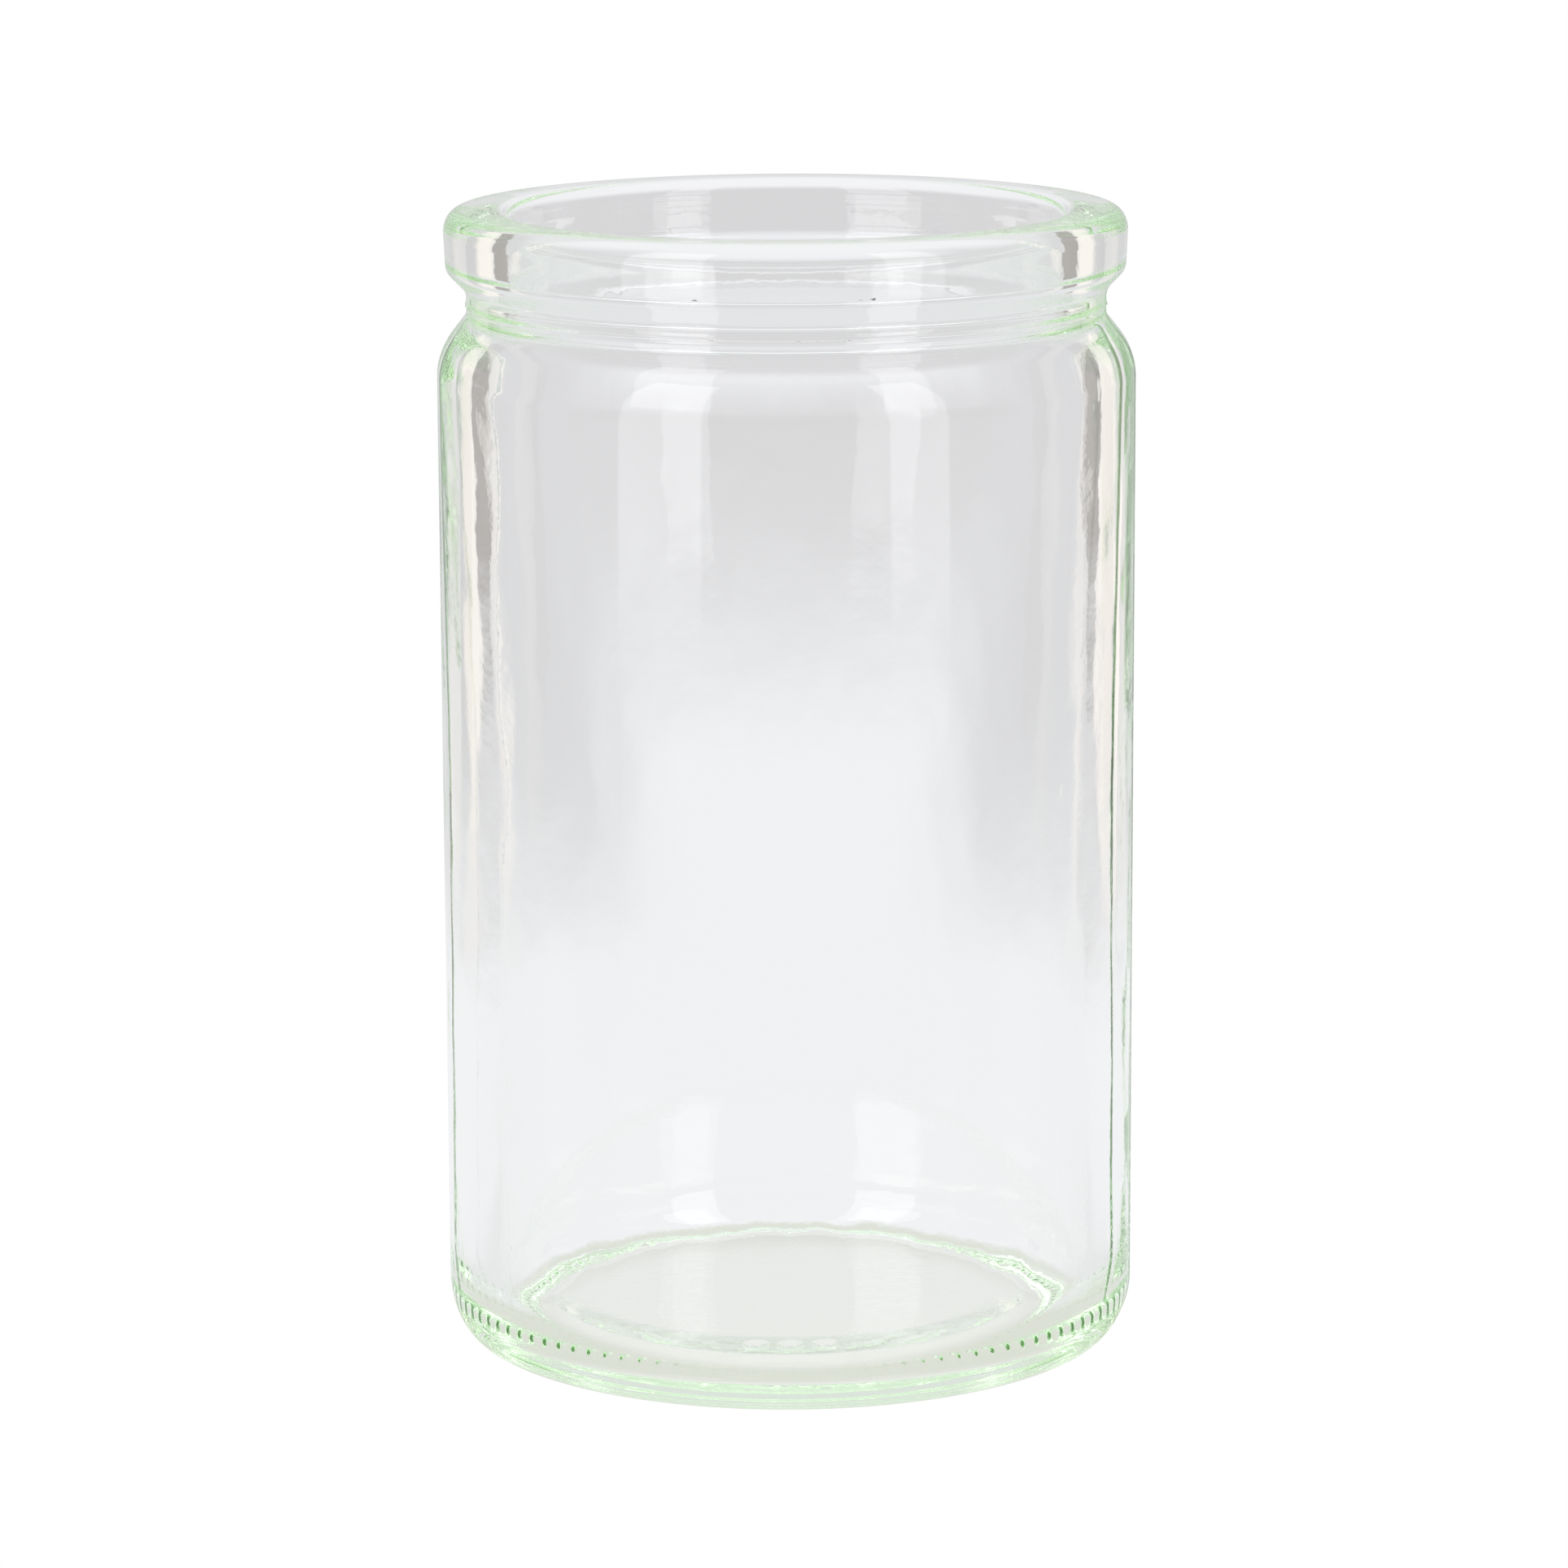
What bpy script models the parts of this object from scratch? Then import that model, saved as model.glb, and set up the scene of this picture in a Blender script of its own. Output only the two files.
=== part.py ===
"""Specimen jar: one press-and-blown glass moulding with a flanged lip and a grooved neck."""

import math

import bmesh
import bpy

MM = 0.001

# Whole jar
JAR_HEIGHT = 115.3 * MM
BODY_RADIUS = 35.0 * MM
TURN_SEGMENTS = 64
SHARP_ANGLE = math.radians(38.0)

# Lip bead and land
BEAD_RADIUS = 34.2 * MM
BEAD_DRAFT = 0.15 * MM
LIP_OUTER_ROUND_R = 1.7 * MM
LIP_OUTER_ROUND_Z = 2.1 * MM
LIP_INNER_ROUND_R = 1.7 * MM
LIP_INNER_ROUND_Z = 1.5 * MM
BEAD_LOWER_Z = 109.0 * MM
BEAD_LOWER_ROUND = 1.3 * MM
UNDERCUT_SLOPE = math.radians(42.0)

# Neck groove and shoulder, outside
NECK_RADIUS = 32.0 * MM
NECK_TOP_Z = 106.6 * MM
NECK_LOW_Z = 105.25 * MM
NECK_FILLET = 1.6 * MM
SHOULDER_ROUND = 6.5 * MM
SHOULDER_SLOPE = math.radians(38.0)

# Bore and shoulder, inside
BORE_RADIUS = 27.6 * MM
BORE_LOW_Z = 105.8 * MM
BORE_FILLET = 1.5 * MM
WALL_UNDER_SHOULDER = 4.1 * MM
WALL_AT_MIDDLE = 5.6 * MM
WALL_MIDDLE_Z = 62.0 * MM
WALL_AT_FLOOR = 5.1 * MM
INNER_SHOULDER_ROUND = 6.5 * MM
INNER_SHOULDER_SLOPE = math.radians(38.0)

# Base
HEEL_ROUND_R = 3.3 * MM
HEEL_ROUND_Z = 6.0 * MM
BEARING_WIDTH = 2.4 * MM
PUSH_UP_RISE = 1.6 * MM
PUSH_UP_CREASE_RADIUS = 23.5 * MM
FLOOR_Z = 4.0 * MM
FLOOR_PLATE_RADIUS = 23.0 * MM
FLOOR_CORNER_Z = 2.6 * MM
FLOOR_FILLET_R = 3.0 * MM
FLOOR_FILLET_Z = 6.5 * MM

# Points along each rounded stretch of the section
STEPS_FINE = 3
STEPS_ROUND = 5
STEPS_HEEL = 7


def clear_scene():
    """Remove whatever objects the new file starts with."""
    for existing in list(bpy.data.objects):
        bpy.data.objects.remove(existing, do_unlink=True)


def arc(center_r, center_z, radius_r, radius_z, start, end, steps):
    """Points along an elliptical arc in the section, both ends included."""
    points = []
    for step in range(steps + 1):
        angle = start + (end - start) * step / steps
        r = center_r + radius_r * math.cos(angle)
        z = center_z + radius_z * math.sin(angle)
        points.append((r, z))
    return points


def inside_section():
    """Cavity side, from the centre of the floor up to the bore below the lip."""
    top_radius = BODY_RADIUS - WALL_UNDER_SHOULDER
    fillet_r = BODY_RADIUS - WALL_AT_FLOOR - FLOOR_FILLET_R
    fillet_z = FLOOR_CORNER_Z + FLOOR_FILLET_Z
    points = [(0.0, FLOOR_Z), (FLOOR_PLATE_RADIUS, FLOOR_Z)]
    points += arc(fillet_r, fillet_z, FLOOR_FILLET_R, FLOOR_FILLET_Z, -math.pi / 2, 0.0, STEPS_HEEL)
    points.append((BODY_RADIUS - WALL_AT_MIDDLE, WALL_MIDDLE_Z))
    fillet = arc(BORE_RADIUS + BORE_FILLET, BORE_LOW_Z, BORE_FILLET, BORE_FILLET,
                 math.pi + INNER_SHOULDER_SLOPE, math.pi, STEPS_FINE)
    round_r = top_radius - INNER_SHOULDER_ROUND
    turn_r = round_r + INNER_SHOULDER_ROUND * math.cos(INNER_SHOULDER_SLOPE)
    run_z = (turn_r - fillet[0][0]) / math.tan(INNER_SHOULDER_SLOPE)
    round_z = fillet[0][1] - run_z - INNER_SHOULDER_ROUND * math.sin(INNER_SHOULDER_SLOPE)
    points += arc(round_r, round_z, INNER_SHOULDER_ROUND, INNER_SHOULDER_ROUND,
                  0.0, INNER_SHOULDER_SLOPE, STEPS_ROUND)
    return points + fillet


def lip_section():
    """Over the lip, from the bore across the land to the outside of the bead."""
    round_z = JAR_HEIGHT - LIP_INNER_ROUND_Z
    inner = arc(BORE_RADIUS + LIP_INNER_ROUND_R, round_z,
                LIP_INNER_ROUND_R, LIP_INNER_ROUND_Z, math.pi, math.pi / 2, STEPS_ROUND)
    outer = arc(BEAD_RADIUS - LIP_OUTER_ROUND_R, JAR_HEIGHT - LIP_OUTER_ROUND_Z,
                LIP_OUTER_ROUND_R, LIP_OUTER_ROUND_Z, math.pi / 2, 0.0, STEPS_ROUND)
    return inner + outer


def neck_section():
    """Underside of the bead, the neck groove and the shoulder, going down."""
    low_radius = BEAD_RADIUS - BEAD_DRAFT
    center_r = low_radius - BEAD_LOWER_ROUND
    center_z = BEAD_LOWER_Z + BEAD_LOWER_ROUND * math.sin(UNDERCUT_SLOPE)
    turn_end = UNDERCUT_SLOPE - math.pi / 2
    points = arc(center_r, center_z, BEAD_LOWER_ROUND, BEAD_LOWER_ROUND, 0.0, turn_end, STEPS_FINE)
    corner = arc(NECK_RADIUS + NECK_FILLET, NECK_TOP_Z, NECK_FILLET, NECK_FILLET,
                 math.pi - UNDERCUT_SLOPE, math.pi, STEPS_FINE)
    points += corner
    points += arc(NECK_RADIUS + NECK_FILLET, NECK_LOW_Z, NECK_FILLET, NECK_FILLET,
                  math.pi, math.pi + SHOULDER_SLOPE, STEPS_FINE)
    start_r, start_z = points[-1]
    round_center_r = BODY_RADIUS - SHOULDER_ROUND
    turn_r = round_center_r + SHOULDER_ROUND * math.cos(SHOULDER_SLOPE)
    run_z = (turn_r - start_r) / math.tan(SHOULDER_SLOPE)
    round_center_z = start_z - run_z - SHOULDER_ROUND * math.sin(SHOULDER_SLOPE)
    points += arc(round_center_r, round_center_z, SHOULDER_ROUND, SHOULDER_ROUND,
                  SHOULDER_SLOPE, 0.0, STEPS_ROUND)
    return points


def base_section():
    """Heel, bearing ring and push-up, from the wall in to the axis."""
    heel_center_r = BODY_RADIUS - HEEL_ROUND_R
    points = arc(heel_center_r, HEEL_ROUND_Z, HEEL_ROUND_R, HEEL_ROUND_Z,
                 0.0, -math.pi / 2, STEPS_HEEL)
    points.append((heel_center_r - BEARING_WIDTH, 0.0))
    points.append((PUSH_UP_CREASE_RADIUS, PUSH_UP_RISE))
    points.append((0.0, PUSH_UP_RISE))
    return points


def glass_material():
    """Clear soda-lime glass."""
    material = bpy.data.materials.new("clear_glass")
    material.use_nodes = True
    shader = material.node_tree.nodes["Principled BSDF"]
    shader.inputs["Base Color"].default_value = (0.90, 0.96, 0.92, 1.0)
    shader.inputs["Roughness"].default_value = 0.02
    shader.inputs["IOR"].default_value = 1.52
    shader.inputs["Transmission Weight"].default_value = 1.0
    return material


def revolve(name, section, material):
    """Turn a section, given in radius and height, once around the jar's axis."""
    mesh = bpy.data.meshes.new(name)
    outline = bmesh.new()
    corners = [outline.verts.new((r, 0.0, z)) for r, z in section]
    for first, second in zip(corners[:-1], corners[1:]):
        outline.edges.new((first, second))
    outline.to_mesh(mesh)
    outline.free()
    turned = bpy.data.objects.new(name, mesh)
    bpy.context.collection.objects.link(turned)
    turned.data.materials.append(material)
    screw = turned.modifiers.new("turn", "SCREW")
    screw.axis = "Z"
    screw.angle = 2.0 * math.pi
    screw.steps = TURN_SEGMENTS
    screw.render_steps = TURN_SEGMENTS
    screw.use_merge_vertices = True
    screw.merge_threshold = 0.01 * MM
    return turned


def bake_modifiers(turned):
    """Apply the modifiers and shade the round surfaces smooth."""
    bpy.context.view_layer.objects.active = turned
    turned.select_set(True)
    for modifier in list(turned.modifiers):
        bpy.ops.object.modifier_apply(modifier=modifier.name)
    turned.data.shade_smooth()
    turned.data.set_sharp_from_angle(angle=SHARP_ANGLE)
    turned.select_set(False)


def build_jar():
    """The whole jar, its section running up the inside and down the outside."""
    section = inside_section() + lip_section() + neck_section() + base_section()
    jar = revolve("jar_body", section, glass_material())
    bake_modifiers(jar)
    return jar


clear_scene()
build_jar()
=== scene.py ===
"""Visual model of the glass specimen jar, standing on a white floor in a soft studio."""

import math

import bpy
from mathutils import Euler, Matrix, Vector, noise


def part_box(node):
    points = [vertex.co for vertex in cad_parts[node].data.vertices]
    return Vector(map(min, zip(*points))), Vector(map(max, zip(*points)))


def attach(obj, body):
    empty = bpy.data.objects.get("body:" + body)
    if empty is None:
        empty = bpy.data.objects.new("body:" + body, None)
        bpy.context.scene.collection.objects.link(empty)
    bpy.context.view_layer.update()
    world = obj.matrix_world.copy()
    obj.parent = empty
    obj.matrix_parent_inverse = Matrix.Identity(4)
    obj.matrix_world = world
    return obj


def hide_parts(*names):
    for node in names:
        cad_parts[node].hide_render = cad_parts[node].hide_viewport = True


MM = 0.001
TAU = 2.0 * math.pi
DEGREES = 180.0 / math.pi

# Camera
FOCAL_LENGTH_MM = 145.0
SENSOR_WIDTH_MM = 36.0
CAMERA_DISTANCE = 630.0 * MM
CAMERA_HEIGHT = 182.7 * MM
CAMERA_SIDESTEP = -0.39 * MM
CAMERA_PITCH = math.radians(11.33)
CAMERA_ROLL = -0.0043
CAMERA_CLIP_NEAR = 10.0 * MM
CAMERA_CLIP_FAR = 20.0

# Turning
KNURLS = 88
SEGMENTS = KNURLS * 5
ARC_FINE = 4
ARC_FILLET = 5
ARC_LIP = 7
ARC_SHOULDER = 9
ARC_HEEL = 12
WALL_STEPS_INSIDE = 76
WALL_STEPS_OUTSIDE = 12

# Lip
BORE_INSET = 7.4 * MM
BORE_LOW_DROP = 9.5 * MM
BORE_FILLET = 1.5 * MM
LIP_INNER_ROUND_R = 1.7 * MM
LIP_INNER_ROUND_Z = 1.5 * MM
LIP_OUTER_ROUND_R = 1.7 * MM
LIP_OUTER_ROUND_Z = 2.1 * MM
BEAD_INSET = 0.8 * MM
BEAD_DRAFT = 0.15 * MM
BEAD_LOWER_DROP = 6.3 * MM
BEAD_LOWER_ROUND = 1.3 * MM
UNDERCUT_SLOPE = math.radians(42.0)

# Neck and shoulder
NECK_INSET = 3.0 * MM
NECK_TOP_DROP = 8.7 * MM
NECK_LOW_DROP = 10.05 * MM
NECK_FILLET = 1.6 * MM
NECK_SEAM_DROP = 9.5 * MM
NECK_SEAM_PROFILE_MM = ((0.16, 0.0), (0.05, 0.13), (-0.05, 0.13), (-0.16, 0.0))
SHOULDER_ROUND = 6.5 * MM
SHOULDER_SLOPE = math.radians(38.0)
INNER_SHOULDER_ROUND = 6.5 * MM
INNER_SHOULDER_SLOPE = math.radians(38.0)
WALL_UNDER_SHOULDER = 4.1 * MM
WALL_AT_MIDDLE = 5.6 * MM
WALL_MIDDLE_DROP = 53.3 * MM
WALL_AT_FLOOR = 5.1 * MM
WALL_BEND_REACH = 22.0 * MM

# Base
HEEL_ROUND_R = 3.3 * MM
HEEL_ROUND_Z = 6.0 * MM
BEARING_WIDTH = 2.4 * MM
PUSH_UP_RISE = 1.6 * MM
PUSH_UP_CREASE_RADIUS = 23.5 * MM
PUSH_UP_BAND_WIDTH = 4.2 * MM
FLOOR_Z = 4.0 * MM
FLOOR_PLATE_RADIUS = 23.0 * MM
FLOOR_CORNER_Z = 2.6 * MM
FLOOR_FILLET_R = 3.0 * MM
FLOOR_FILLET_Z = 6.5 * MM
KNURL_DEPTH = 0.42 * MM
KNURL_INSET = 4.9 * MM
KNURL_REACH = 1.0 * MM
DOT_RADIUS = 1.1 * MM
DOT_HEIGHT = 0.28 * MM
DOT_INSET = 2.2 * MM
DOT_TURNS = (-0.16, 0.0, 0.16)

# Table top, and the height on the jar from which its light is judged
FLOOR_RADIUS = 1200.0 * MM
FLOOR_SIDES = 96
FLOOR_GAP = 0.05 * MM
LIGHT_CENTER_Z = 58.0 * MM

# Painted shade on the table, darker in a ring under the heel
SHADE_RADIUS = 36.0 * MM
SHADE_SOFT = 3.0 * MM
SHADE_RING_IN = 22.0 * MM
SHADE_RING_OUT = 28.0 * MM
SHADE_COLOR = (0.86, 0.87, 0.83)
SHADE_RING_COLOR = (0.72, 0.74, 0.67)

# Unevenness of the blown inside
INSIDE_SHIFT = 0.12 * MM
INSIDE_WAVE = 0.16 * MM
INSIDE_RIPPLE = 0.035 * MM
INSIDE_DIMPLE = 0.012 * MM
INSIDE_FADE_TOP = 8.0 * MM
INSIDE_FADE_FLOOR = 6.0 * MM
WAVE_AROUND = 1.7
WAVE_UP = 1.6
RIPPLE_AROUND = 9.0
RIPPLE_UP = 11.0
DIMPLE_AROUND = 13.0
DIMPLE_UP = 42.0

# Upright parting line of the body mould, and its twin half a turn away
SEAM_ANGLE = math.radians(-5.4)
SEAM_HEIGHT = 0.12 * MM
SEAM_HALF_WIDTH = 0.5 * MM

# Glass
GLASS_IOR = 1.52
GLASS_TINT = (0.40, 0.88, 0.20, 1.0)
GLASS_DENSITY = 2.5
SKIN_INNER_RADIUS = 33.4 * MM
SKIN_OUTER_RADIUS = 34.4 * MM
SKIN_OUTER_SHARE = 0.12
SKIN_RIPPLE_SCALE = 240.0
SKIN_RIPPLE_DEPTH = 0.02 * MM
SMUDGE_SCALE = 38.0
SMUDGE_ROUGHNESS = 0.03

# Studio: colours, with azimuths and elevations in degrees
NEAR_COLOR = (0.905, 0.90, 0.93)
BACK_MIDDLE_COLOR = (0.675, 0.665, 0.685)
BACK_SIDES_COLOR = (0.70, 0.69, 0.715)
BACK_UPPER_COLOR = (0.78, 0.78, 0.81)
ROOM_SIDES_COLOR = (0.82, 0.82, 0.84)
PALE_PANEL_COLOR = (1.04, 0.975, 0.93)
DARK_PANEL_COLOR = (0.40, 0.37, 0.36)
STRIP_COLOR = (2.5, 2.5, 2.56)
OVERHEAD_COLOR = (1.1, 1.1, 1.15)
PALE_PANEL_SPREAD = (32.5, 46.0)
PALE_PANEL_RISE = (-14.0, 12.0)
DARK_PANEL_SPREAD = (46.5, 56.0)
DARK_PANEL_RISE = (-10.5, 10.0)
LEFT_STRIP_SPREAD = (-153.0, -125.0)
RIGHT_STRIP_SPREAD = (127.0, 147.0)
STRIP_RISE = (-6.3, 48.0)
STRIP_SOFT = (0.8, 1.3)
BOUNCES = 96


def arc(center_r, center_z, radius_r, radius_z, start, end, steps):
    """Section points along an elliptical arc, both ends included."""
    points = []
    for step in range(steps + 1):
        angle = start + (end - start) * step / steps
        r = center_r + radius_r * math.cos(angle)
        z = center_z + radius_z * math.sin(angle)
        points.append((r, z))
    return points


def line(start, end, steps):
    """Section points along a straight run, without its two ends."""
    points = []
    for step in range(1, steps):
        t = step / steps
        points.append((start[0] + (end[0] - start[0]) * t, start[1] + (end[1] - start[1]) * t))
    return points


def bent_run(start, bend, end, reach, steps):
    """Two straight runs that meet at a bend, eased into each other, without their outer ends."""
    low_slope = (bend[0] - start[0]) / (bend[1] - start[1])
    high_slope = (end[0] - bend[0]) / (end[1] - bend[1])
    points = []
    for step in range(1, steps):
        z = start[1] + (end[1] - start[1]) * step / steps
        past = min(max((z - bend[1]) / reach, -1.0), 1.0) + 1.0
        beyond = max(z - bend[1] - reach, 0.0)
        eased = reach * past * past / 4.0 + beyond
        points.append((bend[0] + low_slope * (z - bend[1]) + (high_slope - low_slope) * eased, z))
    return points


class Section:
    """The jar's section as runs of points, each run tagged with the surface it belongs to."""

    def __init__(self):
        self.points = []
        self.tags = []

    def add(self, tag, points):
        for point in points:
            self.points.append(point)
            self.tags.append(tag)

    @property
    def last(self):
        return self.points[-1]


def jar_section(radius, height):
    """Up the inside, over the lip and down the outside to the middle of the underside."""
    section = Section()
    top_radius = radius - WALL_UNDER_SHOULDER
    fillet_r = radius - WALL_AT_FLOOR - FLOOR_FILLET_R
    fillet_z = FLOOR_CORNER_Z + FLOOR_FILLET_Z
    plate_edge = (FLOOR_PLATE_RADIUS, FLOOR_Z)
    section.add("inside", [(0.0, FLOOR_Z)])
    section.add("inside", line(section.last, plate_edge, 6))
    section.add("inside", [plate_edge])
    section.add("inside", line(plate_edge, (fillet_r, FLOOR_CORNER_Z), 5))
    section.add("inside", arc(fillet_r, fillet_z, FLOOR_FILLET_R, FLOOR_FILLET_Z,
                              -math.pi / 2, 0.0, ARC_HEEL))
    middle = (radius - WALL_AT_MIDDLE, height - WALL_MIDDLE_DROP)
    bore = radius - BORE_INSET
    fillet = arc(bore + BORE_FILLET, height - BORE_LOW_DROP, BORE_FILLET, BORE_FILLET,
                 math.pi + INNER_SHOULDER_SLOPE, math.pi, ARC_FILLET)
    round_r = top_radius - INNER_SHOULDER_ROUND
    turn_r = round_r + INNER_SHOULDER_ROUND * math.cos(INNER_SHOULDER_SLOPE)
    round_z = (fillet[0][1] - (turn_r - fillet[0][0]) / math.tan(INNER_SHOULDER_SLOPE)
               - INNER_SHOULDER_ROUND * math.sin(INNER_SHOULDER_SLOPE))
    section.add("inside", bent_run(section.last, middle, (top_radius, round_z),
                                   WALL_BEND_REACH, WALL_STEPS_INSIDE))
    section.add("inside", arc(round_r, round_z, INNER_SHOULDER_ROUND, INNER_SHOULDER_ROUND,
                              0.0, INNER_SHOULDER_SLOPE, ARC_SHOULDER))
    section.add("bore", fillet)
    round_in = (bore + LIP_INNER_ROUND_R, height - LIP_INNER_ROUND_Z)
    section.add("bore", line(section.last, (bore, round_in[1]), 5))
    section.add("lip", arc(*round_in, LIP_INNER_ROUND_R, LIP_INNER_ROUND_Z,
                           math.pi, math.pi / 2, ARC_LIP))
    bead = radius - BEAD_INSET
    round_out = (bead - LIP_OUTER_ROUND_R, height - LIP_OUTER_ROUND_Z)
    section.add("lip", line(section.last, (round_out[0], height), 3))
    section.add("lip", arc(*round_out, LIP_OUTER_ROUND_R, LIP_OUTER_ROUND_Z,
                           math.pi / 2, 0.0, ARC_LIP))
    low = (bead - BEAD_DRAFT - BEAD_LOWER_ROUND,
           height - BEAD_LOWER_DROP + BEAD_LOWER_ROUND * math.sin(UNDERCUT_SLOPE))
    section.add("bead", line(section.last, (bead - BEAD_DRAFT, low[1]), 4))
    section.add("bead", arc(*low, BEAD_LOWER_ROUND, BEAD_LOWER_ROUND,
                            0.0, UNDERCUT_SLOPE - math.pi / 2, ARC_FILLET))
    neck = radius - NECK_INSET
    section.add("neck", arc(neck + NECK_FILLET, height - NECK_TOP_DROP, NECK_FILLET, NECK_FILLET,
                            math.pi - UNDERCUT_SLOPE, math.pi, ARC_FINE))
    seam_z = height - NECK_SEAM_DROP
    for rise, swell in NECK_SEAM_PROFILE_MM:
        section.add("neck", [(neck + swell * MM, seam_z + rise * MM)])
    section.add("neck", arc(neck + NECK_FILLET, height - NECK_LOW_DROP, NECK_FILLET, NECK_FILLET,
                            math.pi, math.pi + SHOULDER_SLOPE, ARC_FINE))
    start_r, start_z = section.last
    round_r = radius - SHOULDER_ROUND
    turn_r = round_r + SHOULDER_ROUND * math.cos(SHOULDER_SLOPE)
    run_z = (turn_r - start_r) / math.tan(SHOULDER_SLOPE)
    round_z = start_z - run_z - SHOULDER_ROUND * math.sin(SHOULDER_SLOPE)
    section.add("outside", arc(round_r, round_z, SHOULDER_ROUND, SHOULDER_ROUND,
                               SHOULDER_SLOPE, 0.0, ARC_SHOULDER))
    section.add("outside", line(section.last, (radius, HEEL_ROUND_Z), WALL_STEPS_OUTSIDE))
    heel_r = radius - HEEL_ROUND_R
    section.add("heel", arc(heel_r, HEEL_ROUND_Z, HEEL_ROUND_R, HEEL_ROUND_Z,
                            0.0, -math.pi / 2, ARC_HEEL))
    bearing_in = (heel_r - BEARING_WIDTH, 0.0)
    section.add("base", line(section.last, bearing_in, 5))
    section.add("base", [bearing_in])
    crease = (PUSH_UP_CREASE_RADIUS, PUSH_UP_RISE)
    section.add("base", line(bearing_in, crease, 12))
    section.add("base", [crease])
    inner_edge = (PUSH_UP_CREASE_RADIUS - PUSH_UP_BAND_WIDTH, PUSH_UP_RISE)
    section.add("base", line(section.last, inner_edge, 12))
    section.add("base", [inner_edge])
    section.add("base", line(inner_edge, (0.0, PUSH_UP_RISE), 4))
    section.add("base", [(0.0, PUSH_UP_RISE)])
    return section


def inside_offset(angle, z, height):
    """How much further out the blown inner wall stands at this place."""
    up = min(max((z - FLOOR_Z) / (height - BORE_LOW_DROP - FLOOR_Z), 0.0), 1.25)
    fade = min(1.0, (height - BORE_LOW_DROP - z) / INSIDE_FADE_TOP)
    fade = max(fade, 0.0) * min(1.0, max(0.0, (z - FLOOR_Z) / INSIDE_FADE_FLOOR))
    around = Vector((math.cos(angle), math.sin(angle), 0.0))
    slow = noise.noise(around * WAVE_AROUND + Vector((3.1, 5.2, up * WAVE_UP)))
    quick = noise.noise(around * RIPPLE_AROUND + Vector((7.7, 1.3, up * RIPPLE_UP)))
    fine = noise.noise(around * DIMPLE_AROUND + Vector((2.9, 8.1, up * DIMPLE_UP)))
    return fade * (INSIDE_SHIFT * math.cos(angle) + INSIDE_WAVE * slow + INSIDE_RIPPLE * quick
                   + INSIDE_DIMPLE * fine)


def seam_swell(angle, r):
    """How far the mould's upright parting lines stand out of the surface."""
    off = (angle - SEAM_ANGLE + math.pi / 2) % math.pi - math.pi / 2
    reach = r * off / SEAM_HALF_WIDTH
    return SEAM_HEIGHT * math.exp(-reach * reach)


def knurl_lift(angle, r, radius):
    """How far the bearing ring's grooves rise between its ridges."""
    middle = radius - KNURL_INSET
    reach = abs(r - middle) / KNURL_REACH
    window = max(0.0, 1.0 - reach * reach)
    wave = 0.5 - 0.5 * math.cos(KNURLS * angle)
    return KNURL_DEPTH * window * wave


def dot_drop(x, y):
    """Three plain raised dots that stand in for the mould mark under the base."""
    drop = 0.0
    center_r = PUSH_UP_CREASE_RADIUS - DOT_INSET
    for turn in DOT_TURNS:
        dx = x - center_r * math.sin(turn)
        dy = y + center_r * math.cos(turn)
        reach = math.hypot(dx, dy) / DOT_RADIUS
        if reach < 1.0:
            drop = max(drop, DOT_HEIGHT * math.sqrt(1.0 - reach * reach))
    return drop


def jar_mesh(name, radius, height):
    """The turned jar with its blown unevenness, knurling and raised dots."""
    section = jar_section(radius, height)
    verts = []
    rows = []
    for (r, z), tag in zip(section.points, section.tags):
        if r == 0.0:
            rows.append([len(verts)])
            verts.append((0.0, 0.0, z))
            continue
        row = []
        for step in range(SEGMENTS):
            angle = TAU * step / SEGMENTS
            here_r = r
            here_z = z
            if tag == "inside":
                here_r = r + inside_offset(angle, z, height) * (r / (radius - WALL_AT_MIDDLE))
            if tag in ("neck", "outside", "heel"):
                here_r = r + seam_swell(angle, r)
            if tag in ("base", "heel"):
                here_z = z + knurl_lift(angle, r, radius)
            x = here_r * math.cos(angle)
            y = here_r * math.sin(angle)
            if tag == "base":
                here_z -= dot_drop(x, y)
            row.append(len(verts))
            verts.append((x, y, here_z))
        rows.append(row)
    faces = []
    for lower, upper in zip(rows[:-1], rows[1:]):
        for step in range(SEGMENTS):
            following = (step + 1) % SEGMENTS
            if len(lower) == 1:
                faces.append((lower[0], upper[step], upper[following]))
            elif len(upper) == 1:
                faces.append((lower[step], upper[0], lower[following]))
            else:
                faces.append((lower[step], upper[step], upper[following], lower[following]))
    mesh = bpy.data.meshes.new(name)
    mesh.from_pydata(verts, [], faces)
    mesh.update()
    mesh.shade_smooth()
    return mesh


def node(tree, kind, **values):
    """A new node with its plain attributes set."""
    made = tree.nodes.new(kind)
    for key, value in values.items():
        setattr(made, key, value)
    return made


def math_node(tree, operation, first, second=None):
    """A math node; each input is a socket or a number."""
    made = node(tree, "ShaderNodeMath", operation=operation)
    for index, value in enumerate((first, second)):
        if value is None:
            continue
        if isinstance(value, (int, float)):
            made.inputs[index].default_value = value
        else:
            tree.links.new(value, made.inputs[index])
    return made.outputs[0]


def ramp(tree, value, low, high, out_low=0.0, out_high=1.0):
    """A smooth step of a value between two limits."""
    made = node(tree, "ShaderNodeMapRange", interpolation_type="SMOOTHSTEP")
    tree.links.new(value, made.inputs["Value"])
    made.inputs["From Min"].default_value = low
    made.inputs["From Max"].default_value = high
    made.inputs["To Min"].default_value = out_low
    made.inputs["To Max"].default_value = out_high
    return made.outputs["Result"]


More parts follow.
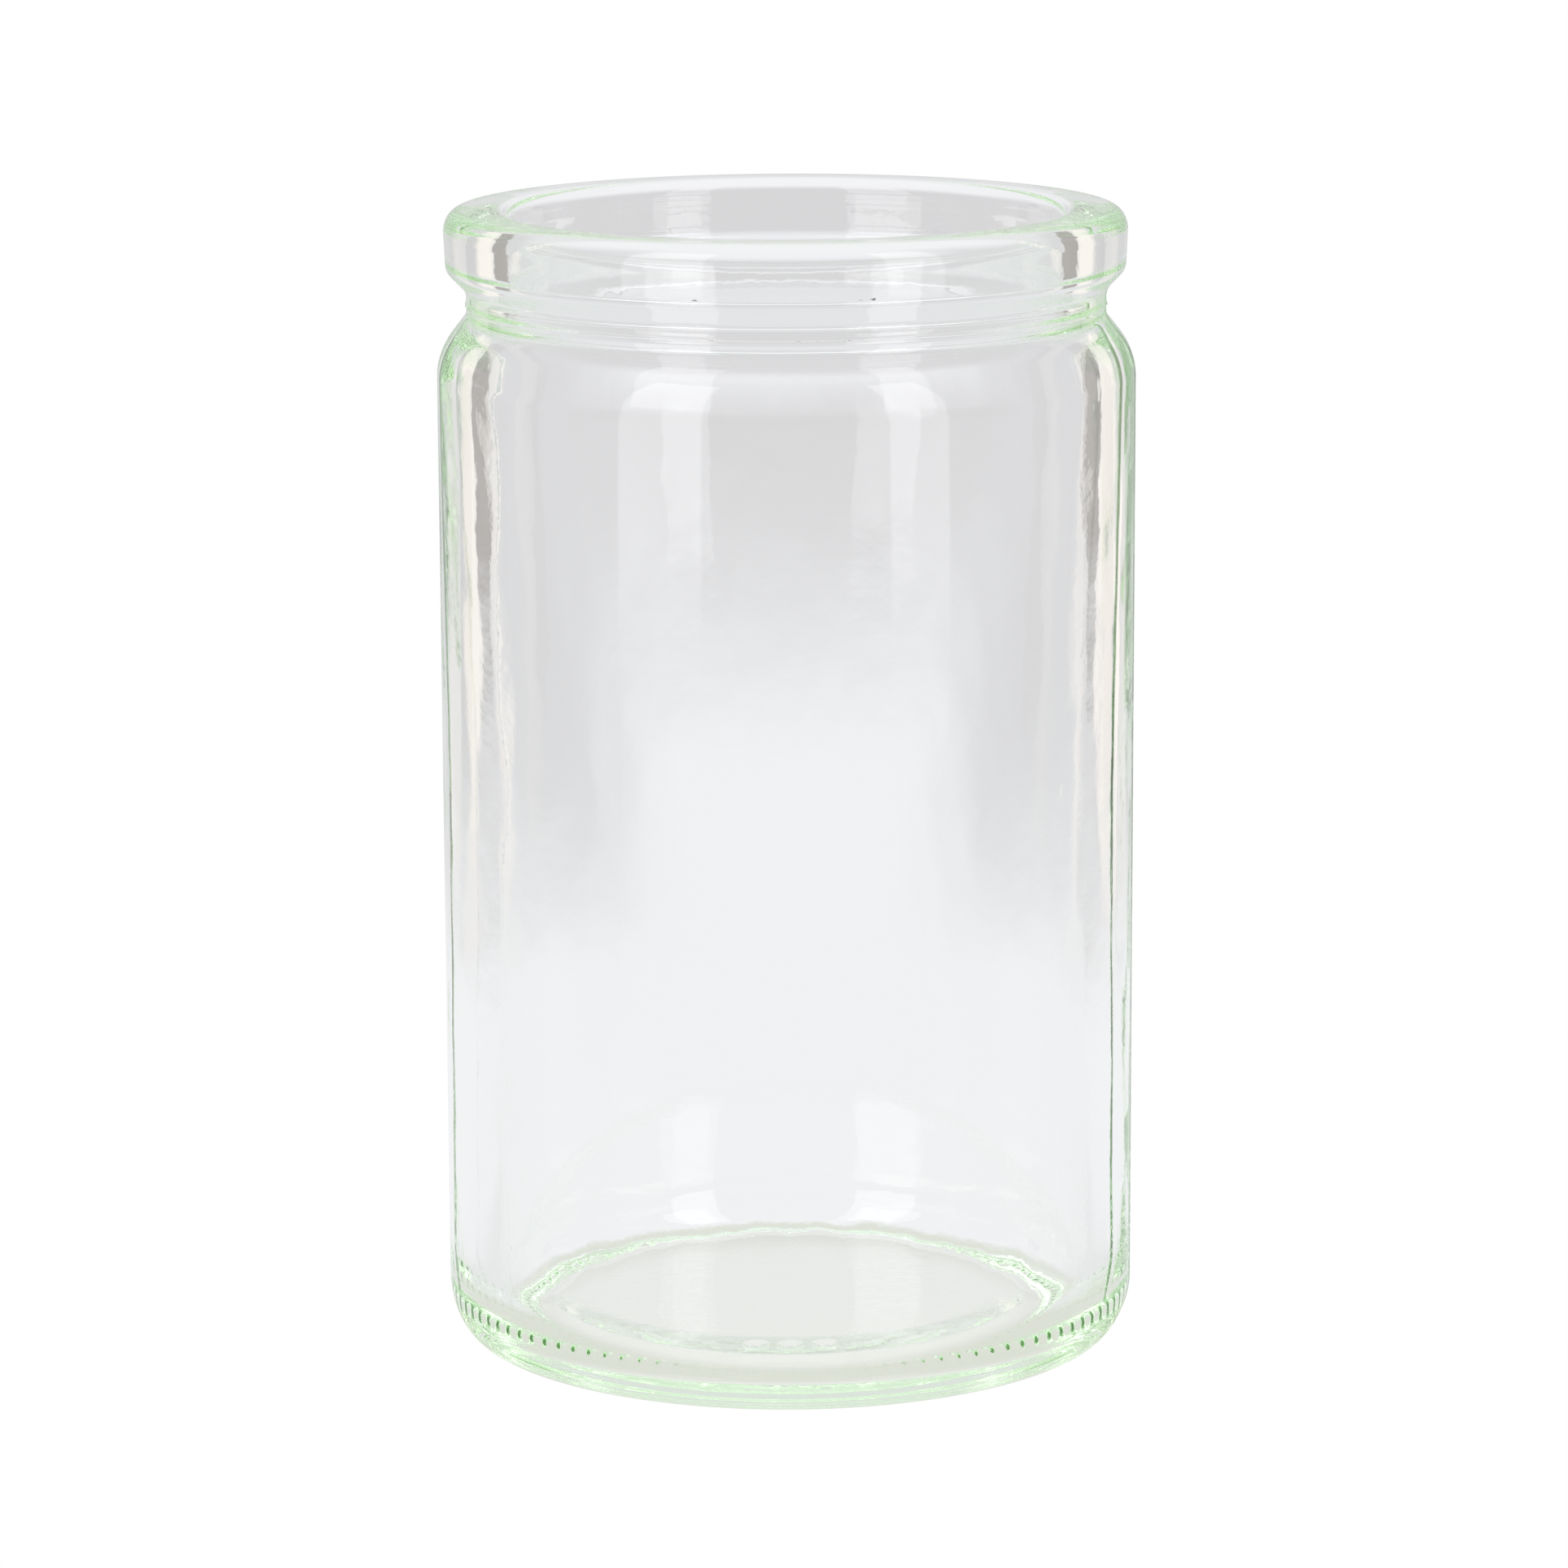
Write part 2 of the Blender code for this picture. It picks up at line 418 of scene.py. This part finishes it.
def mix_color(tree, factor, under, over):
    """Lay one colour over another; each is a socket or a colour."""
    made = node(tree, "ShaderNodeMix", data_type="RGBA", clamp_factor=True)
    tree.links.new(factor, made.inputs["Factor"])
    for socket, value in ((made.inputs[6], under), (made.inputs[7], over)):
        if isinstance(value, tuple):
            socket.default_value = (*value, 1.0)
        else:
            tree.links.new(value, socket)
    return made.outputs[2]


def glass_material():
    """Fire-polished soda-lime glass: a faint green body and a slightly rippled, smudged skin."""
    material = bpy.data.materials.new("jar_glass")
    material.use_nodes = True
    tree = material.node_tree
    tree.nodes.clear()
    output = node(tree, "ShaderNodeOutputMaterial")
    shader = node(tree, "ShaderNodeBsdfPrincipled")
    shader.inputs["Base Color"].default_value = (1.0, 1.0, 1.0, 1.0)
    shader.inputs["IOR"].default_value = GLASS_IOR
    shader.inputs["Transmission Weight"].default_value = 1.0
    tree.links.new(shader.outputs["BSDF"], output.inputs["Surface"])
    coords = node(tree, "ShaderNodeTexCoord")
    split = node(tree, "ShaderNodeSeparateXYZ")
    tree.links.new(coords.outputs["Object"], split.inputs["Vector"])
    length = node(tree, "ShaderNodeCombineXYZ")
    tree.links.new(split.outputs["X"], length.inputs["X"])
    tree.links.new(split.outputs["Y"], length.inputs["Y"])
    radial = node(tree, "ShaderNodeVectorMath", operation="LENGTH")
    tree.links.new(length.outputs["Vector"], radial.inputs[0])
    inner = ramp(tree, radial.outputs["Value"], SKIN_INNER_RADIUS, SKIN_OUTER_RADIUS,
                 1.0, SKIN_OUTER_SHARE)
    ripple = node(tree, "ShaderNodeTexNoise")
    ripple.inputs["Scale"].default_value = SKIN_RIPPLE_SCALE
    ripple.inputs["Detail"].default_value = 3.0
    ripple.inputs["Roughness"].default_value = 0.6
    tree.links.new(coords.outputs["Object"], ripple.inputs["Vector"])
    bump = node(tree, "ShaderNodeBump")
    bump.inputs["Strength"].default_value = 1.0
    bump.inputs["Distance"].default_value = SKIN_RIPPLE_DEPTH
    tree.links.new(math_node(tree, "MULTIPLY", ripple.outputs["Fac"], inner), bump.inputs["Height"])
    tree.links.new(bump.outputs["Normal"], shader.inputs["Normal"])
    smudge = node(tree, "ShaderNodeTexNoise")
    smudge.inputs["Scale"].default_value = SMUDGE_SCALE
    smudge.inputs["Detail"].default_value = 5.0
    tree.links.new(coords.outputs["Object"], smudge.inputs["Vector"])
    rough = ramp(tree, smudge.outputs["Fac"], 0.5, 0.8, 0.0, SMUDGE_ROUGHNESS)
    tree.links.new(rough, shader.inputs["Roughness"])
    absorb = node(tree, "ShaderNodeVolumeAbsorption")
    absorb.inputs["Color"].default_value = GLASS_TINT
    absorb.inputs["Density"].default_value = GLASS_DENSITY
    tree.links.new(absorb.outputs["Volume"], output.inputs["Volume"])
    return material


def studio_light(tree, azimuth, elevation):
    """Colour of the studio in one direction from the jar, azimuth from straight behind it."""
    spread = math_node(tree, "ABSOLUTE", azimuth)

    def panel(under, color, az, el, soft_az, soft_el, around):
        """Lay a soft-edged rectangle of light over the surroundings."""
        mask = ramp(tree, around, az[0] - soft_az, az[0] + soft_az)
        for value, limit, soft in ((around, az[1], soft_az), (elevation, el[1], soft_el)):
            falling = ramp(tree, value, limit - soft, limit + soft, 1.0, 0.0)
            mask = math_node(tree, "MULTIPLY", mask, falling)
        rising = ramp(tree, elevation, el[0] - soft_el, el[0] + soft_el)
        mask = math_node(tree, "MULTIPLY", mask, rising)
        return mix_color(tree, mask, under, color)

    middle = mix_color(tree, ramp(tree, elevation, -12.0, -6.3), NEAR_COLOR, BACK_MIDDLE_COLOR)
    sides = mix_color(tree, ramp(tree, elevation, -19.0, -10.5), NEAR_COLOR, BACK_SIDES_COLOR)
    light = mix_color(tree, ramp(tree, spread, 6.0, 15.0), middle, sides)
    light = mix_color(tree, ramp(tree, elevation, 2.0, 14.0), light, BACK_UPPER_COLOR)
    light = mix_color(tree, ramp(tree, spread, 60.0, 75.0), light, ROOM_SIDES_COLOR)
    light = panel(light, PALE_PANEL_COLOR, PALE_PANEL_SPREAD, PALE_PANEL_RISE, 3.0, 4.0, spread)
    light = panel(light, DARK_PANEL_COLOR, DARK_PANEL_SPREAD, DARK_PANEL_RISE, 0.7, 1.5, spread)
    light = panel(light, STRIP_COLOR, LEFT_STRIP_SPREAD, STRIP_RISE, *STRIP_SOFT, azimuth)
    light = panel(light, STRIP_COLOR, RIGHT_STRIP_SPREAD, STRIP_RISE, *STRIP_SOFT, azimuth)
    return mix_color(tree, ramp(tree, elevation, 50.0, 56.0), light, OVERHEAD_COLOR)


def floor_material():
    """White table top: pure white to the camera, shaded studio light to the glass."""
    material = bpy.data.materials.new("white_floor")
    material.use_nodes = True
    tree = material.node_tree
    tree.nodes.clear()
    output = node(tree, "ShaderNodeOutputMaterial")
    lit = node(tree, "ShaderNodeEmission")
    coords = node(tree, "ShaderNodeTexCoord")
    split = node(tree, "ShaderNodeSeparateXYZ")
    tree.links.new(coords.outputs["Object"], split.inputs["Vector"])
    radial = node(tree, "ShaderNodeVectorMath", operation="LENGTH")
    tree.links.new(coords.outputs["Object"], radial.inputs[0])
    azimuth = math_node(tree, "MULTIPLY",
                        math_node(tree, "ARCTAN2", split.outputs["X"], split.outputs["Y"]), DEGREES)
    dip = math_node(tree, "ARCTAN2", -LIGHT_CENTER_Z, radial.outputs["Value"])
    elevation = math_node(tree, "MULTIPLY", dip, DEGREES)
    path = node(tree, "ShaderNodeLightPath")
    # Painted shade on the table under the jar, darker in a ring under the heel, laid over the
    # studio light the table shows to the glass.
    under = ramp(tree, radial.outputs["Value"], SHADE_RADIUS, SHADE_RADIUS + SHADE_SOFT,
                 1.0, 0.0)
    ring = ramp(tree, radial.outputs["Value"], SHADE_RING_IN, SHADE_RING_OUT)
    shaded = mix_color(tree, ring, SHADE_COLOR, SHADE_RING_COLOR)
    paper_light_and_shade = mix_color(tree, under, studio_light(tree, azimuth, elevation), shaded)
    shade = mix_color(tree, path.outputs["Is Camera Ray"], paper_light_and_shade, (1.0, 1.0, 1.0))
    tree.links.new(shade, lit.inputs["Color"])
    clear = node(tree, "ShaderNodeBsdfTransparent")
    facing = node(tree, "ShaderNodeNewGeometry")
    mix = node(tree, "ShaderNodeMixShader")
    tree.links.new(facing.outputs["Backfacing"], mix.inputs["Fac"])
    tree.links.new(lit.outputs["Emission"], mix.inputs[1])
    tree.links.new(clear.outputs["BSDF"], mix.inputs[2])
    tree.links.new(mix.outputs["Shader"], output.inputs["Surface"])
    return material


def make_floor(radius):
    """A round white table top under the jar."""
    verts = []
    for step in range(FLOOR_SIDES):
        angle = TAU * step / FLOOR_SIDES
        verts.append((radius * math.cos(angle), radius * math.sin(angle), 0.0))
    mesh = bpy.data.meshes.new("floor")
    mesh.from_pydata(verts, [], [tuple(range(FLOOR_SIDES))])
    mesh.update()
    mesh.materials.append(floor_material())
    floor = bpy.data.objects.new("floor", mesh)
    bpy.context.scene.collection.objects.link(floor)
    floor.location.z = -FLOOR_GAP


def make_world():
    """The studio around the table, pure white where the camera looks past the jar."""
    world = bpy.data.worlds.new("studio")
    bpy.context.scene.world = world
    world.use_nodes = True
    tree = world.node_tree
    tree.nodes.clear()
    output = node(tree, "ShaderNodeOutputWorld")
    coords = node(tree, "ShaderNodeTexCoord")
    split = node(tree, "ShaderNodeSeparateXYZ")
    tree.links.new(coords.outputs["Generated"], split.inputs["Vector"])
    azimuth = math_node(tree, "MULTIPLY",
                        math_node(tree, "ARCTAN2", split.outputs["X"], split.outputs["Y"]), DEGREES)
    elevation = math_node(tree, "MULTIPLY", math_node(tree, "ARCSINE", split.outputs["Z"]), DEGREES)
    seen = node(tree, "ShaderNodeBackground")
    seen.inputs["Color"].default_value = (1.0, 1.0, 1.0, 1.0)
    lighting = node(tree, "ShaderNodeBackground")
    tree.links.new(studio_light(tree, azimuth, elevation), lighting.inputs["Color"])
    path = node(tree, "ShaderNodeLightPath")
    choose = node(tree, "ShaderNodeMixShader")
    tree.links.new(path.outputs["Is Camera Ray"], choose.inputs["Fac"])
    tree.links.new(lighting.outputs["Background"], choose.inputs[1])
    tree.links.new(seen.outputs["Background"], choose.inputs[2])
    tree.links.new(choose.outputs["Shader"], output.inputs["Surface"])


def make_camera():
    """A long lens a little above the jar, tipped down at it."""
    camera = bpy.data.objects.new("camera", bpy.data.cameras.new("camera"))
    bpy.context.scene.collection.objects.link(camera)
    camera.data.lens = FOCAL_LENGTH_MM
    camera.data.sensor_width = SENSOR_WIDTH_MM
    camera.data.sensor_fit = "HORIZONTAL"
    camera.data.clip_start = CAMERA_CLIP_NEAR
    camera.data.clip_end = CAMERA_CLIP_FAR
    tilt = Euler((math.pi / 2 - CAMERA_PITCH, 0.0, 0.0)).to_matrix().to_4x4()
    place = Matrix.Translation((CAMERA_SIDESTEP, -CAMERA_DISTANCE, CAMERA_HEIGHT))
    camera.matrix_world = place @ tilt @ Matrix.Rotation(CAMERA_ROLL, 4, "Z")
    bpy.context.scene.camera = camera


def set_look():
    """Enough bounces for thick glass, and plain colour."""
    scene = bpy.context.scene
    scene.cycles.max_bounces = BOUNCES
    scene.cycles.transmission_bounces = BOUNCES
    scene.cycles.glossy_bounces = BOUNCES
    scene.cycles.blur_glossy = 0.0
    scene.view_settings.view_transform = "Standard"
    scene.view_settings.look = "None"


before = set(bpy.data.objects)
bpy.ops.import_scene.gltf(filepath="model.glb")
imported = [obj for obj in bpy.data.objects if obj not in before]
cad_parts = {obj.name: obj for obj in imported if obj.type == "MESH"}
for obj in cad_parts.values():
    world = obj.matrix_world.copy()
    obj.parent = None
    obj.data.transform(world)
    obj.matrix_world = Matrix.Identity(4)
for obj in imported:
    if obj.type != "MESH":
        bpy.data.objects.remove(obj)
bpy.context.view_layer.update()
jar_low, jar_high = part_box("jar_body")
jar_radius = min(jar_high[0], jar_high[1])
jar_height = jar_high[2] - jar_low[2]

set_look()
make_world()
make_camera()
make_floor(FLOOR_RADIUS)

glass = bpy.data.objects.new("jar_glass", jar_mesh("jar_glass", jar_radius, jar_height))
bpy.context.scene.collection.objects.link(glass)
glass.data.materials.append(glass_material())
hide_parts("jar_body")
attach(glass, "root")
